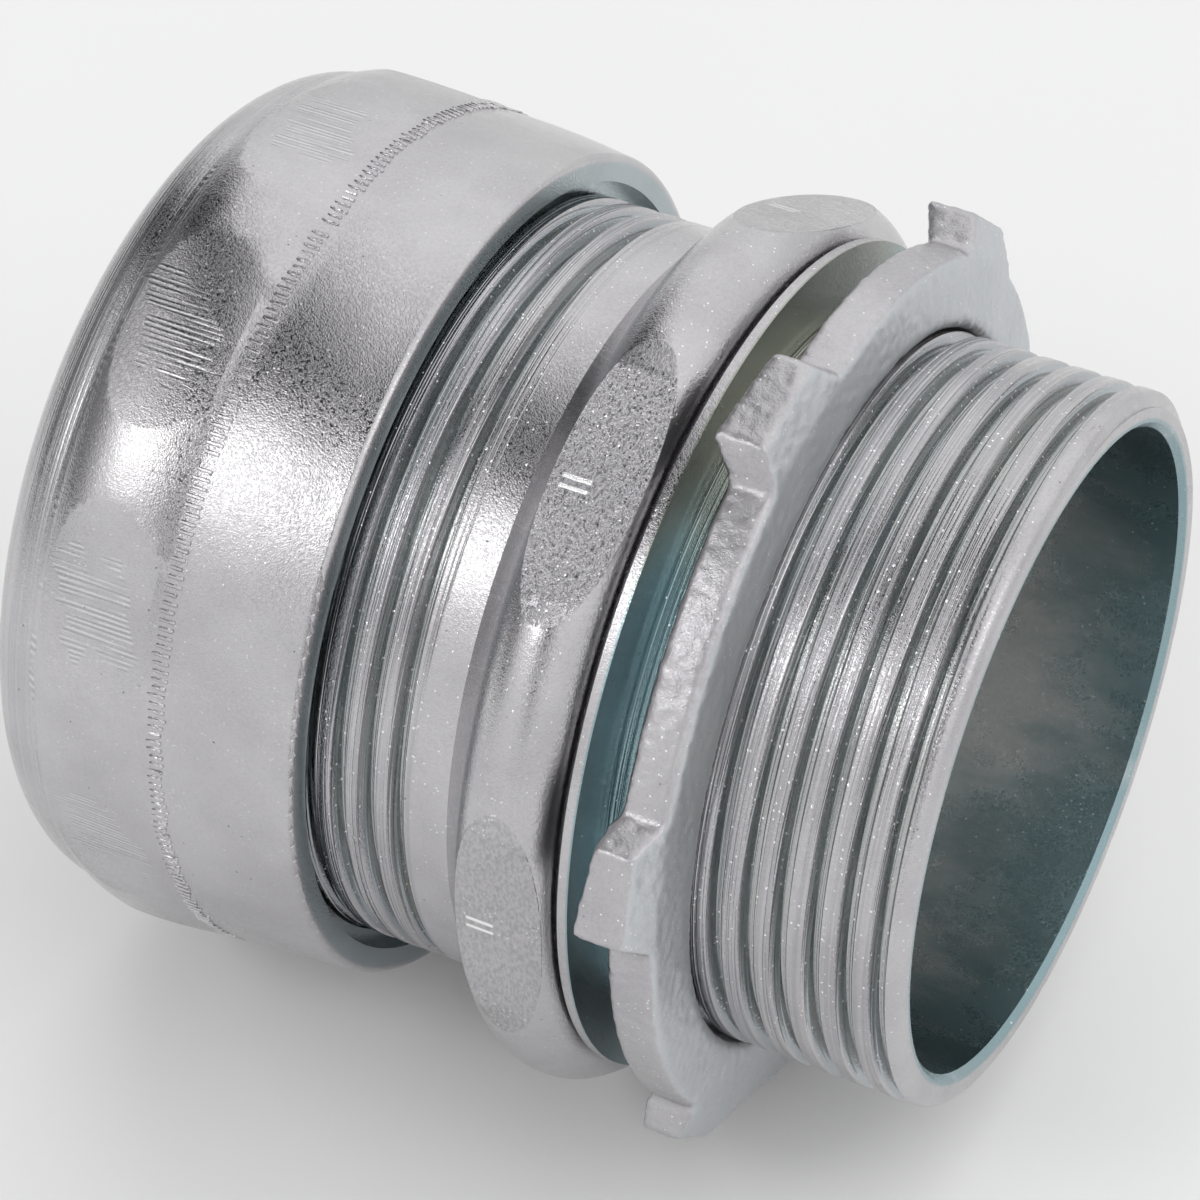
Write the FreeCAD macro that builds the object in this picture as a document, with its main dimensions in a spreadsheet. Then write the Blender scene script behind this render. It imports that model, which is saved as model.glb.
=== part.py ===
import FreeCAD, Part
import math
import os
import Sketcher

# Steel compression connector for 1-1/2 in thin-wall conduit.  Millimetres, +Z up.
# The axis is +X, the nose that enters a box points to +X, and the origin is on the
# axis in the plane of the shoulder that stops against the box wall.

SIZES = {
    # the conduit, the socket it slides into and the wire way beyond its stop
    "conduit_radius": 22.1,
    "socket_clearance": 0.25,
    "socket_stop": 4,
    "stop_step": 0.55,
    # nose: the box-side thread
    "nose_length": 20.4,
    "nose_wall": 2.33,
    "nose_end_round": 0.9,
    "bore_edge": 0.4,
    "nose_thread_pitch": 2.209,
    "nose_thread_depth": 0.95,
    "nose_thread_root": 0.4,
    "nose_thread_top": 1.05,
    "nose_plain": 1.3,
    "thread_edge": 0.1,
    # shoulder flange, crevice and pressed bead behind it
    "flange_step": 4.17,
    "flange_thickness": 0.7,
    "crevice_width": 0.25,
    "crevice_depth": 0.9,
    "bead_rise": 2.3,
    "bead_front_drop": 2.6,
    "bead_crown": 4.3,
    "bead_back_run": 3.6,
    "bead_back_drop": 2.3,
    "bead_foot_run": 1.9,
    "facet_depth": 1.55,
    "facet_count": 6,
    "facet_turn": 32.3,
    # gland: the conduit-side thread with the socket inside it
    "gland_wall": 3.45,
    "neck_length": 2.6,
    "gland_gap": 2.4,
    "gland_chamfer": 0.7,
    "gland_mouth_chamfer": 1.6,
    "gland_thread_pitch": 2.117,
    "gland_thread_depth": 1.0,
    "gland_thread_root": 0.35,
    "gland_thread_top": 1.1,
    # gland nut
    "nut_length": 23.3,
    "nut_turns_out": 3.6,
    "nut_mouth_gap": 1.1,
    "nut_mouth_depth": 1.2,
    "nut_mouth_lead": 1.1,
    "nut_lip_wall": 1.85,
    "nut_lip_round": 0.5,
    "nut_skirt_length": 9.7,
    "nut_skirt_rise": 0.65,
    "nut_belly_run": 5.3,
    "nut_belly_rise": 0.8,
    "nut_heel_run": 4.0,
    "nut_heel_drop": 1.1,
    "nut_rear_drop": 3.9,
    "nut_flat_depth": 0.8,
    "nut_flat_count": 10,
    "nut_flat_turn": 30.6,
    "nut_flat_front": 10.6,
    "nut_thread_gap": 0.15,
    "nut_thread_flank_gap": 0.1,
    "nut_thread_length": 12,
    "nut_relief_step": 0.45,
    "nut_opening_gap": 0.8,
    "nut_rear_lip": 1.6,
    # split compression ring
    "ring_clearance": 0.3,
    "ring_wall": 2.3,
    "ring_length": 7,
    "ring_chamfer": 1.4,
    "ring_split": 2.4,
    "ring_seat_gap": 0.2,
    # locknut
    "locknut_place": 3.1,
    "locknut_bore_gap": 0.1,
    "locknut_wall": 5.07,
    "locknut_rim_width": 2.9,
    "locknut_dish": 0.4,
    "locknut_edge": 0.4,
    "locknut_mouth": 0.6,
    "lug_count": 6,
    "lug_turn": 18.2,
    "lug_reach": 2.2,
    "lug_root_width": 9.4,
    "lug_tip_width": 6.6,
    "lug_setback": 1.4,
    "lug_slope": 1.2,
    "lug_bite": 1.2,
}

FULL_TURN = 360
SHEET = "Sizes"


class Size:
    """A length worked out from the sheet: its formula and its value."""

    def __init__(self, formula, value):
        self.formula = formula
        self.value = value

    def __add__(self, other):
        other = as_size(other)
        return Size("(%s + %s)" % (self.formula, other.formula), self.value + other.value)

    def __sub__(self, other):
        other = as_size(other)
        return Size("(%s - %s)" % (self.formula, other.formula), self.value - other.value)

    def __mul__(self, other):
        other = as_size(other)
        return Size("(%s * %s)" % (self.formula, other.formula), self.value * other.value)

    def __truediv__(self, other):
        other = as_size(other)
        return Size("(%s / %s)" % (self.formula, other.formula), self.value / other.value)

    def __neg__(self):
        return Size("(0 - %s)" % self.formula, -self.value)


def as_size(value):
    """A plain number as a Size, and a Size as itself."""
    if isinstance(value, Size):
        return value
    return Size(repr(value), value)


def size(name):
    """The sheet's value of that name."""
    return Size("%s.%s" % (SHEET, name), SIZES[name])


def fill_sheet(doc):
    """Write every driving dimension into the sheet, one row each."""
    sheet = doc.addObject("Spreadsheet::Sheet", SHEET)
    for row, name in enumerate(SIZES, start=1):
        sheet.set("A%d" % row, name)
        sheet.set("B%d" % row, str(SIZES[name]))
        sheet.setAlias("B%d" % row, name)
    doc.recompute()
    return sheet


def make_body(doc, label):
    """An empty body whose label names the piece."""
    body = doc.addObject("PartDesign::Body", label)
    body.Label = label
    doc.recompute()
    return body


def origin_feature(body, role):
    """The body's own origin plane or axis of that role."""
    return next(item for item in body.Origin.OriginFeatures if item.Role == role)


def add_sketch(body, name, role):
    """An empty sketch lying on one of the body's origin planes."""
    sketch = body.newObject("Sketcher::SketchObject", name)
    sketch.AttachmentSupport = (origin_feature(body, role), "")
    sketch.MapMode = "FlatFace"
    return sketch


def bind(item, path, value):
    """Tie one property of a feature to a Size."""
    item.setExpression(path, as_size(value).formula)


def arc_between(start, end, radius, side):
    """Arc of that radius from start to end, its centre left (+1) or right (-1) of the way."""
    chord = end - start
    half = chord.Length / 2
    rise = math.sqrt(max(radius * radius - half * half, 0))
    left = FreeCAD.Vector(-chord.y, chord.x, 0).normalize()
    centre = start + chord * 0.5 + left * rise * side
    first = math.atan2(start.y - centre.y, start.x - centre.x)
    last = math.atan2(end.y - centre.y, end.x - centre.x)
    if side < 0:
        first, last = last, first
    circle = Part.Circle(centre, FreeCAD.Vector(0, 0, 1), radius)
    return Part.ArcOfCircle(circle, first, last)


def draw_outline(sketch, corners):
    """Closed outline through corners (across, up) or (across, up, arc radius, centre side).

    An arc radius and side describe the edge that leaves that corner.
    """
    count = len(corners)
    spots = [FreeCAD.Vector(as_size(c[0]).value, as_size(c[1]).value, 0) for c in corners]
    starts = []
    ends = []
    for index, corner in enumerate(corners):
        here = spots[index]
        there = spots[(index + 1) % count]
        if len(corner) == 2:
            edge = sketch.addGeometry(Part.LineSegment(here, there), False)
            starts.append((edge, 1))
            ends.append((edge, 2))
            continue
        radius, side = corner[2:]
        edge = sketch.addGeometry(arc_between(here, there, as_size(radius).value, side), False)
        starts.append((edge, 1 if side > 0 else 2))
        ends.append((edge, 2 if side > 0 else 1))
    for index in range(count):
        link = Sketcher.Constraint("Coincident", *ends[index - 1], *starts[index])
        sketch.addConstraint(link)
    for index, corner in enumerate(corners):
        for kind, value in (("DistanceX", corner[0]), ("DistanceY", corner[1])):
            place = as_size(value)
            number = sketch.addConstraint(Sketcher.Constraint(kind, *starts[index], place.value))
            bind(sketch, "Constraints[%d]" % number, place)
        if len(corner) > 2:
            radius = as_size(corner[2])
            edge = starts[index][0]
            number = sketch.addConstraint(Sketcher.Constraint("Radius", edge, radius.value))
            bind(sketch, "Constraints[%d]" % number, radius)


def revolve_outline(body, name, corners):
    """A solid of revolution about the X axis from an outline of (X, radius)."""
    sketch = add_sketch(body, name + "_outline", "XZ_Plane")
    draw_outline(sketch, corners)
    turned = body.newObject("PartDesign::Revolution", name)
    turned.Profile = sketch
    turned.ReferenceAxis = (sketch, ["H_Axis"])
    turned.Angle = FULL_TURN
    return turned


def cut_helix(body, name, corners, pitch, length, towards_nose):
    """A right-hand thread groove: the outline of (X, radius) swept along a helix about X."""
    sketch = add_sketch(body, name + "_outline", "XZ_Plane")
    draw_outline(sketch, corners)
    groove = body.newObject("PartDesign::SubtractiveHelix", name)
    groove.Profile = sketch
    groove.ReferenceAxis = (sketch, ["H_Axis"])
    groove.Mode = "pitch-height-angle"
    bind(groove, "Pitch", pitch)
    bind(groove, "Height", length)
    groove.Angle = 0
    groove.LeftHanded = False
    groove.Reversed = not towards_nose
    return groove


def groove_corners(middle, root_radius, top_radius, root_width, top_width):
    """Four corners of a thread groove below the axis: widest at top_radius."""
    return [
        (middle - top_width * 0.5, -top_radius),
        (middle + top_width * 0.5, -top_radius),
        (middle + root_width * 0.5, -root_radius),
        (middle - root_width * 0.5, -root_radius),
    ]


def broken_groove_corners(middle, root_radius, top_radius, root_width, top_width, edge):
    """The same groove with a small chamfer on the crests beside it."""
    flared = top_width * 0.5 + edge
    corners = groove_corners(middle, root_radius, top_radius - edge, root_width, top_width)
    return [(middle - flared, -top_radius), (middle + flared, -top_radius)] + [
        corners[1],
        corners[2],
        corners[3],
        corners[0],
    ]


def pattern_about_axis(body, name, features, count):
    """Repeat features evenly about the X axis."""
    ring = body.newObject("PartDesign::PolarPattern", name)
    ring.Originals = features
    ring.Axis = (origin_feature(body, "X_Axis"), [""])
    ring.Angle = FULL_TURN
    bind(ring, "Occurrences", count)
    body.Tip = ring
    return ring


def cut_flats(body, name, distance, reach, front, length, turn, count):
    """Flats round a turned piece, each square to a radius at that distance from the axis.

    They start at X = front and run towards -X, and reach is how far out the cut goes.
    """
    sketch = add_sketch(body, name + "_outline", "YZ_Plane")
    draw_outline(sketch, [
        (-reach, distance),
        (reach, distance),
        (reach, distance + reach),
        (-reach, distance + reach),
    ])
    bind(sketch, "AttachmentOffset.Base.z", front)
    bind(sketch, "AttachmentOffset.Rotation.Angle", turn)
    cut = body.newObject("PartDesign::Pocket", name)
    cut.Profile = sketch
    bind(cut, "Length", length)
    return pattern_about_axis(body, name + "_ring", [cut], count)


def levelling_curve(run, rise):
    """Radius of the arc that ends level after that run along the axis and that rise."""
    return (run * run + rise * rise) / (rise * 2)


def socket_radius():
    """The wall the conduit slides into."""
    return size("conduit_radius") + size("socket_clearance")


def bore_radius():
    """The wire way, a step smaller than the socket so that the conduit stops."""
    return socket_radius() - size("stop_step")


def nose_radius():
    """The crest of the box-side thread."""
    return bore_radius() + size("nose_wall")


def neck_radius():
    """The plain neck and the crest of the gland thread."""
    return socket_radius() + size("gland_wall")


def bead_length():
    """From the shoulder face to the foot of the bead."""
    return size("bead_crown") + size("bead_back_run") + size("bead_foot_run")


def gland_groove_place():
    """X of the first gland groove, whose edge touches the plain neck, below the axis."""
    return -(bead_length() + size("neck_length") + size("gland_thread_top") * 0.5)


def nut_mouth_place():
    """X of the nut's mouth, screwed on until nut_turns_out turns of thread still show."""
    flush = gland_groove_place() - size("gland_thread_pitch") * 0.5
    start = flush + size("nut_mouth_depth") + size("nut_mouth_lead")
    return start - size("gland_thread_pitch") * size("nut_turns_out")


def nut_thread_major():
    """The root of the nut's inside thread."""
    return neck_radius() + size("nut_thread_gap")


def nut_relief_radius():
    """The plain chamber behind the nut's thread."""
    return nut_thread_major() + size("nut_relief_step")


def nut_opening_radius():
    """The hole in the nut's rear wall that the conduit passes through."""
    return size("conduit_radius") + size("nut_opening_gap")


def nut_seat_depth():
    """From the nut's mouth to the start of the coned seat that presses the ring."""
    cone = nut_relief_radius() - nut_opening_radius()
    return size("nut_length") - size("nut_rear_lip") - cone


def ring_inner_radius():
    """The relaxed ring's bore."""
    return size("conduit_radius") + size("ring_clearance")


def ring_rear_place():
    """X of the ring's rear edge, just short of the coned seat in the nut."""
    edge = ring_inner_radius() + size("ring_wall") - size("ring_chamfer")
    seat = nut_mouth_place() - nut_seat_depth()
    return seat - nut_relief_radius() + edge + size("ring_seat_gap")


def gland_end_place():
    """X of the gland's mouth, short of the ring by the travel left for tightening."""
    return ring_rear_place() + size("ring_length") + size("gland_gap")


def connector_body(doc):
    """Nose, shoulder flange, pressed bead with six facets, neck and gland thread."""
    body = make_body(doc, "connector_body")
    nose_end = size("nose_length")
    nose = nose_radius()
    nose_round = size("nose_end_round")
    bore = bore_radius()
    neck = neck_radius()
    flange = nose + size("flange_step")
    bead = flange + size("bead_rise")
    gland_end = gland_end_place()
    socket = socket_radius()
    stop = -size("socket_stop")
    crevice_front = -size("flange_thickness")
    crevice_back = crevice_front - size("crevice_width")
    crevice = flange - size("crevice_depth")
    crown = -size("bead_crown")
    front_curve = levelling_curve(crevice_back - crown, size("bead_front_drop"))
    back_curve = levelling_curve(size("bead_back_run"), size("bead_back_drop"))
    revolve_outline(body, "body_turned", [
        (nose_end, bore + size("bore_edge")),
        (nose_end, nose - nose_round, nose_round, 1),
        (nose_end - nose_round, nose),
        (as_size(0), nose),
        (as_size(0), flange),
        (crevice_front, flange),
        (crevice_front, crevice),
        (crevice_back, crevice),
        (crevice_back, bead - size("bead_front_drop"), front_curve, 1),
        (crown, bead, back_curve, 1),
        (crown - size("bead_back_run"), bead - size("bead_back_drop")),
        (-bead_length(), neck),
        (gland_end + size("gland_chamfer"), neck),
        (gland_end, neck - size("gland_chamfer")),
        (gland_end, socket + size("gland_mouth_chamfer")),
        (gland_end + size("gland_mouth_chamfer"), socket),
        (stop, socket),
        (stop, bore),
        (nose_end - size("bore_edge"), bore),
    ])
    cut_flats(
        body,
        "bead_facets",
        bead - size("facet_depth"),
        bead,
        crevice_front,
        bead_length() - size("flange_thickness"),
        size("facet_turn"),
        size("facet_count"),
    )
    nose_groove = size("nose_plain") + size("nose_thread_top") * 0.5
    cut_helix(
        body,
        "nose_thread",
        broken_groove_corners(
            nose_groove,
            nose - size("nose_thread_depth"),
            nose,
            size("nose_thread_root"),
            size("nose_thread_top"),
            size("thread_edge"),
        ),
        size("nose_thread_pitch"),
        nose_end + size("nose_thread_pitch") - nose_groove,
        True,
    )
    cut_helix(
        body,
        "gland_thread",
        broken_groove_corners(
            gland_groove_place(),
            neck - size("gland_thread_depth"),
            neck,
            size("gland_thread_root"),
            size("gland_thread_top"),
            size("thread_edge"),
        ),
        size("gland_thread_pitch"),
        gland_groove_place() + size("gland_thread_pitch") - gland_end,
        False,
    )
    return body


def gland_nut(doc):
    """Ten-sided rounded nut with an inside thread and a coned seat for the ring."""
    body = make_body(doc, "gland_nut")
    pitch = size("gland_thread_pitch")
    thread_minor = neck_radius() - size("gland_thread_depth") + size("nut_thread_gap")
    relief = nut_relief_radius()
    opening = nut_opening_radius()
    seat = -nut_seat_depth()
    rear = -size("nut_length")
    mouth = neck_radius() + size("nut_mouth_gap")
    lip = mouth + size("nut_lip_wall")
    lip_round = size("nut_lip_round")
    skirt = lip + size("nut_skirt_rise")
    skirt_end = -size("nut_skirt_length")
    belly = skirt + size("nut_belly_rise")
    belly_place = skirt_end - size("nut_belly_run")
    heel = belly - size("nut_heel_drop")
    heel_place = belly_place - size("nut_heel_run")
    thread_end = -size("nut_thread_length")
    skirt_curve = levelling_curve(-lip_round - skirt_end, size("nut_skirt_rise"))
    belly_curve = levelling_curve(size("nut_belly_run"), size("nut_belly_rise"))
    heel_curve = levelling_curve(size("nut_heel_run"), size("nut_heel_drop"))
    rear_curve = levelling_curve(heel_place - rear, size("nut_rear_drop"))
    revolve_outline(body, "nut_turned", [
        (as_size(0), mouth),
        (as_size(0), lip - lip_round, lip_round, 1),
        (-lip_round, lip, skirt_curve, 1),
        (skirt_end, skirt, belly_curve, 1),
        (belly_place, belly, heel_curve, 1),
        (heel_place, heel, rear_curve, 1),
        (rear, heel - size("nut_rear_drop")),
        (rear, opening),
        (rear + size("nut_rear_lip"), opening),
        (seat, relief),
        (thread_end, relief),
        (thread_end, thread_minor),
        (-size("nut_mouth_depth"), thread_minor),
        (-size("nut_mouth_depth"), mouth),
    ])
    cut_flats(
        body,
        "nut_flats",
        belly - size("nut_flat_depth"),
        belly * 0.5,
        -size("nut_flat_front"),
        size("nut_length") - size("nut_flat_front"),
        size("nut_flat_turn"),
        size("nut_flat_count"),
    )
    flank = (size("gland_thread_top") - size("gland_thread_root")) / size("gland_thread_depth")
    widen = size("nut_thread_flank_gap") * 2 - size("nut_thread_gap") * flank
    lead_in = size("nut_mouth_depth") + size("nut_mouth_lead")
    cut_helix(
        body,
        "nut_thread",
        groove_corners(
            pitch * 2 - lead_in,
            nut_thread_major(),
            thread_minor,
            pitch - size("gland_thread_top") + widen,
            pitch - size("gland_thread_root") + widen,
        ),
        pitch,
        size("nut_thread_length") + pitch * 3,
        False,
    )
    body.setExpression("Placement.Base.x", nut_mouth_place().formula)
    body.Placement.Rotation = FreeCAD.Rotation(FreeCAD.Vector(1, 0, 0), 1)
    body.setExpression("Placement.Rotation.Angle", "0 - %d * %s.nut_turns_out" % (FULL_TURN, SHEET))
    return body


def compression_ring(doc):
    """Split ring, chamfered at both ends, that the nut squeezes onto the conduit."""
    body = make_body(doc, "compression_ring")
    inner = ring_inner_radius()
    outer = inner + size("ring_wall")
    length = size("ring_length")
    chamfer = size("ring_chamfer")
    half_split = size("ring_split") * 0.5
    revolve_outline(body, "ring_turned", [
        (as_size(0), inner),
        (length, inner),
        (length, outer - chamfer),
        (length - chamfer, outer),
        (chamfer, outer),
        (as_size(0), outer - chamfer),
    ])
    sketch = add_sketch(body, "ring_split_outline", "XY_Plane")
    draw_outline(sketch, [
        (-length, -half_split),
        (length * 2, -half_split),
        (length * 2, half_split),
        (-length, half_split),
    ])
    split = body.newObject("PartDesign::Pocket", "ring_split")
    split.Profile = sketch
    bind(split, "Length", outer * 2)
    split.Reversed = True
    body.setExpression("Placement.Base.x", ring_rear_place().formula)
    return body


def cut_lug(body, name, plane, corners, length):
    """Trim a lug with a pocket that passes right through it."""
    sketch = add_sketch(body, name + "_outline", plane)
    draw_outline(sketch, corners)
    cut = body.newObject("PartDesign::Pocket", name)
    cut.Profile = sketch
    bind(cut, "Length", length)
    return cut


def locknut(doc):
    """Dished ring with six lugs bent back towards the box wall."""
    body = make_body(doc, "locknut")
    bore = nose_radius() + size("locknut_bore_gap")
    rim = bore + size("locknut_wall")
    width = size("locknut_rim_width")
    dish = size("locknut_dish")
    edge = size("locknut_edge")
    mouth = size("locknut_mouth")
    root = rim - edge
    front = width + edge
    revolve_outline(body, "locknut_turned", [
        (dish, bore),
        (as_size(0), root),
        (edge, rim),
        (width, rim),
        (front, root),
        (front + dish, bore + mouth),
        (front + dish - mouth, bore),
    ])
    half_root = size("lug_root_width") * 0.5
    half_tip = size("lug_tip_width") * 0.5
    setback = size("lug_setback")
    tip = rim + size("lug_reach")
    sketch = add_sketch(body, "lug_outline", "YZ_Plane")
    draw_outline(sketch, [
        (-half_root, root),
        (half_root, root),
        (half_tip, tip),
        (-half_tip, tip),
    ])
    bind(sketch, "AttachmentOffset.Base.z", -setback)
    lug = body.newObject("PartDesign::Pad", "lug")
    lug.Profile = sketch
    bind(lug, "Length", setback + front)
    slope = cut_lug(body, "lug_slope", "XZ_Plane", [
        (front, root),
        (front + front, root),
        (front + front, tip + edge),
        (front - size("lug_slope"), tip + edge),
    ], half_root * 4)
    slope.Midplane = True
    heel = cut_lug(body, "lug_heel", "XZ_Plane", [
        (-setback * 2, root),
        (as_size(0), root),
        (-setback, tip),
        (-setback * 2, tip),
    ], half_root * 4)
    heel.Midplane = True
    bite = cut_lug(body, "lug_bite", "XY_Plane", [
        (-setback, -half_root),
        (size("lug_bite") - setback, half_root),
        (-setback * 2, half_root),
        (-setback * 2, -half_root),
    ], tip)
    bind(bite.Profile[0], "AttachmentOffset.Base.z", root)
    bite.Reversed = True
    pattern_about_axis(body, "lugs", [lug, slope, heel, bite], size("lug_count"))
    body.setExpression("Placement.Base.x", size("locknut_place").formula)
    body.Placement.Rotation = FreeCAD.Rotation(FreeCAD.Vector(1, 0, 0), 1)
    body.setExpression("Placement.Rotation.Angle", size("lug_turn").formula)
    return body


def check(doc, pieces):
    """Stop unless every feature computed and every piece is one valid solid."""
    for item in doc.Objects:
        if "Invalid" in item.State or "Error" in item.State:
            raise RuntimeError("%s failed: %s" % (item.Name, item.State))
    for piece in pieces:
        shape = piece.Shape
        if shape.isNull() or not shape.isValid() or len(shape.Solids) != 1:
            raise RuntimeError("%s has no single valid solid" % piece.Label)


def main():
    """Build the four pieces and write one STEP file for each."""
    doc = FreeCAD.newDocument("CompressionConnector")
    fill_sheet(doc)
    pieces = [connector_body(doc), gland_nut(doc), compression_ring(doc), locknut(doc)]
    doc.recompute()
    check(doc, pieces)
    os.makedirs("parts", exist_ok=True)
    for piece in pieces:
        piece.Shape.exportStep("parts/%s.step" % piece.Label)
        box = piece.Shape.BoundBox
        print(piece.Label, "volume", round(piece.Shape.Volume), "x", round(box.XMin, 2), round(box.XMax, 2))


main()
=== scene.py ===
import math
import random

import bpy
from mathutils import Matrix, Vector


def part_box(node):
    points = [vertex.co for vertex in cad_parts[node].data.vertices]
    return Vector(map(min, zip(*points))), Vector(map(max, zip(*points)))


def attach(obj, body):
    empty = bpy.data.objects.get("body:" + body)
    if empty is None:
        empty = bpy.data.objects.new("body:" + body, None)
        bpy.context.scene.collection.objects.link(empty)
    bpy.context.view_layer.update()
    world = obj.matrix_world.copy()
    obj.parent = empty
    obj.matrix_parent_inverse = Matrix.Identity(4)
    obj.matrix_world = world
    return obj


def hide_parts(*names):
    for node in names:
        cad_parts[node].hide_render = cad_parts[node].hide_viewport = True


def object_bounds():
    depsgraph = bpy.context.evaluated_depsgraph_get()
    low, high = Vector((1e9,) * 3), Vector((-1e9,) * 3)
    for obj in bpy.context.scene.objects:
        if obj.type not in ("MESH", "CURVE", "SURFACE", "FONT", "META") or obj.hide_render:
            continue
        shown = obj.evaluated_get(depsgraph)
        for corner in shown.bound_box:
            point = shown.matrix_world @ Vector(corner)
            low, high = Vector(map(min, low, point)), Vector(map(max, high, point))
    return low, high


bl_info = {
    "name": "Compression Connector Finish",
    "version": (1, 0, 0),
    "blender": (4, 5, 0),
    "location": "View3D > Sidebar > Connector",
    "description": "Finishes the four steel pieces of a conduit compression connector on a studio floor",
    "category": "Object",
}

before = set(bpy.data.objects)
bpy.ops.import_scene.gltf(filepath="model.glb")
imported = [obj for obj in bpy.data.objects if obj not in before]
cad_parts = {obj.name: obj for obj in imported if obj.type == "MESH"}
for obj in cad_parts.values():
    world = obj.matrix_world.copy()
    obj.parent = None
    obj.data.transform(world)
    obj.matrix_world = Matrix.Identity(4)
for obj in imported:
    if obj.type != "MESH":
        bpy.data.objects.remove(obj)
CAD_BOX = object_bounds()

MM = 0.001
NOSE_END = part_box("connector_body")[1].x / MM
NUT_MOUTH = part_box("gland_nut")[1].x / MM

# flats: how many, the turn of the first one and their distance from the axis, in mm and radians
NUT_FLATS = 10
NUT_FLAT_TURN = math.radians(12.6)
NUT_FLAT_REACH = 29.4
BEAD_FACETS = 6
FACET_TURN = math.radians(2.3)
FACET_REACH = 29.05

# radii that part one surface from the next, in mm
BORE_EDGE = (22.3, 22.6)
NOSE_GROOVE_EDGE = (23.85, 24.05)
GLAND_GROOVE_EDGE = (25.35, 25.72)
NUT_INSIDE_EDGE = (27.2, 27.4)
NUT_LIP_EDGE = (28.0, 28.4)
LOCKNUT_BORE = 24.2 * MM

# the row of ticks round the nut, in mm
TICK_RING = NUT_MOUTH - 9.5
TICK_REACH = 29.44
TICKS = 320

# sizes of the pressed locknut's mesh and grain, in mm
LOCKNUT_VOXEL = 0.22
LOCKNUT_GRAIN = 0.7
LOCKNUT_GRAIN_DEPTH = 0.16

WHITE = (1.0, 1.0, 1.0, 1.0)
PIT = (0.16, 0.16, 0.17, 1.0)
SCORE = (0.25, 0.26, 0.28, 1.0)
NUT_SCORE = (0.30, 0.31, 0.34, 1.0)
HAMMER_SHADE = (0.20, 0.20, 0.215, 1.0)
NICK_SHINE = (0.98, 0.98, 0.98, 1.0)
CHATTER_SHINE = (0.85, 0.85, 0.88, 1.0)
CHATTER_SHADE = (0.22, 0.22, 0.24, 1.0)
BORE_SPARK = (0.9, 0.95, 0.95, 1.0)
LOCKNUT_FACE_PAINTED_LIGHT = (0.68, 0.73, 0.75, 1.0)
TENT_GAP = (0.02, 0.02, 0.025, 1.0)


# ---------------------------------------------------------------- node wiring

class Wiring:
    """Adds shader nodes to one tree and joins them up."""

    def __init__(self, tree):
        self.tree = tree

    def node(self, kind, **settings):
        """A new node of that kind with those settings."""
        made = self.tree.nodes.new(kind)
        for name, value in settings.items():
            setattr(made, name, value)
        return made

    def feed(self, socket, value):
        """Join an output to a socket, or set the socket to a number, vector or colour."""
        if isinstance(value, bpy.types.NodeSocket):
            self.tree.links.new(value, socket)
        elif value is not None:
            socket.default_value = value

    def math(self, operation, first, second=None, third=None, clamp=False):
        """A number worked out from up to three others."""
        made = self.node("ShaderNodeMath", operation=operation, use_clamp=clamp)
        for socket, value in zip(made.inputs, (first, second, third)):
            self.feed(socket, value)
        return made.outputs[0]

    def scaled(self, vector, factors):
        """A vector with each part multiplied by its own factor."""
        made = self.node("ShaderNodeVectorMath", operation="MULTIPLY")
        self.feed(made.inputs[0], vector)
        self.feed(made.inputs[1], factors)
        return made.outputs[0]

    def vector(self, x, y, z):
        """A vector from three numbers."""
        made = self.node("ShaderNodeCombineXYZ")
        for socket, value in zip(made.inputs, (x, y, z)):
            self.feed(socket, value)
        return made.outputs[0]

    def parts(self, vector):
        """The three numbers of a vector."""
        made = self.node("ShaderNodeSeparateXYZ")
        self.feed(made.inputs[0], vector)
        return made.outputs[0], made.outputs[1], made.outputs[2]

    def noise(self, vector, scale, detail=3.0, roughness=0.5):
        """Soft noise from 0 to 1."""
        made = self.node("ShaderNodeTexNoise")
        self.feed(made.inputs["Vector"], vector)
        self.feed(made.inputs["Scale"], scale)
        self.feed(made.inputs["Detail"], detail)
        self.feed(made.inputs["Roughness"], roughness)
        return made.outputs[0]

    def cells(self, vector, scale):
        """Distance to the nearest of a scatter of points, and a random colour for each."""
        made = self.node("ShaderNodeTexVoronoi")
        self.feed(made.inputs["Vector"], vector)
        self.feed(made.inputs["Scale"], scale)
        return made.outputs["Distance"], made.outputs["Color"]

    def step(self, value, low, high, to_low=0.0, to_high=1.0):
        """A soft step from to_low to to_high as value goes from low to high."""
        made = self.node("ShaderNodeMapRange", interpolation_type="SMOOTHSTEP")
        for socket, number in zip(made.inputs, (value, low, high, to_low, to_high)):
            self.feed(socket, number)
        return made.outputs[0]

    def band(self, value, low, high, soft):
        """1 between low and high, fading to 0 over soft at each side."""
        rise = self.step(value, low - soft, low)
        fall = self.step(value, high, high + soft, 1.0, 0.0)
        return self.math("MULTIPLY", rise, fall)

    def mix(self, factor, first, second, blend="MIX"):
        """A colour between two colours."""
        made = self.node("ShaderNodeMix", data_type="RGBA", blend_type=blend)
        self.feed(made.inputs[0], factor)
        self.feed(made.inputs[6], first)
        self.feed(made.inputs[7], second)
        return made.outputs[2]

    def blend(self, factor, first, second):
        """A number between two numbers."""
        made = self.node("ShaderNodeMix", data_type="FLOAT")
        self.feed(made.inputs[0], factor)
        self.feed(made.inputs[2], first)
        self.feed(made.inputs[3], second)
        return made.outputs[0]

    def group(self, name, **inputs):
        """A node group placed in this tree, with its inputs fed by name."""
        made = self.node("ShaderNodeGroup", node_tree=bpy.data.node_groups[name])
        for key, value in inputs.items():
            self.feed(made.inputs[key.replace("_", " ")], value)
        return made.outputs


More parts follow.
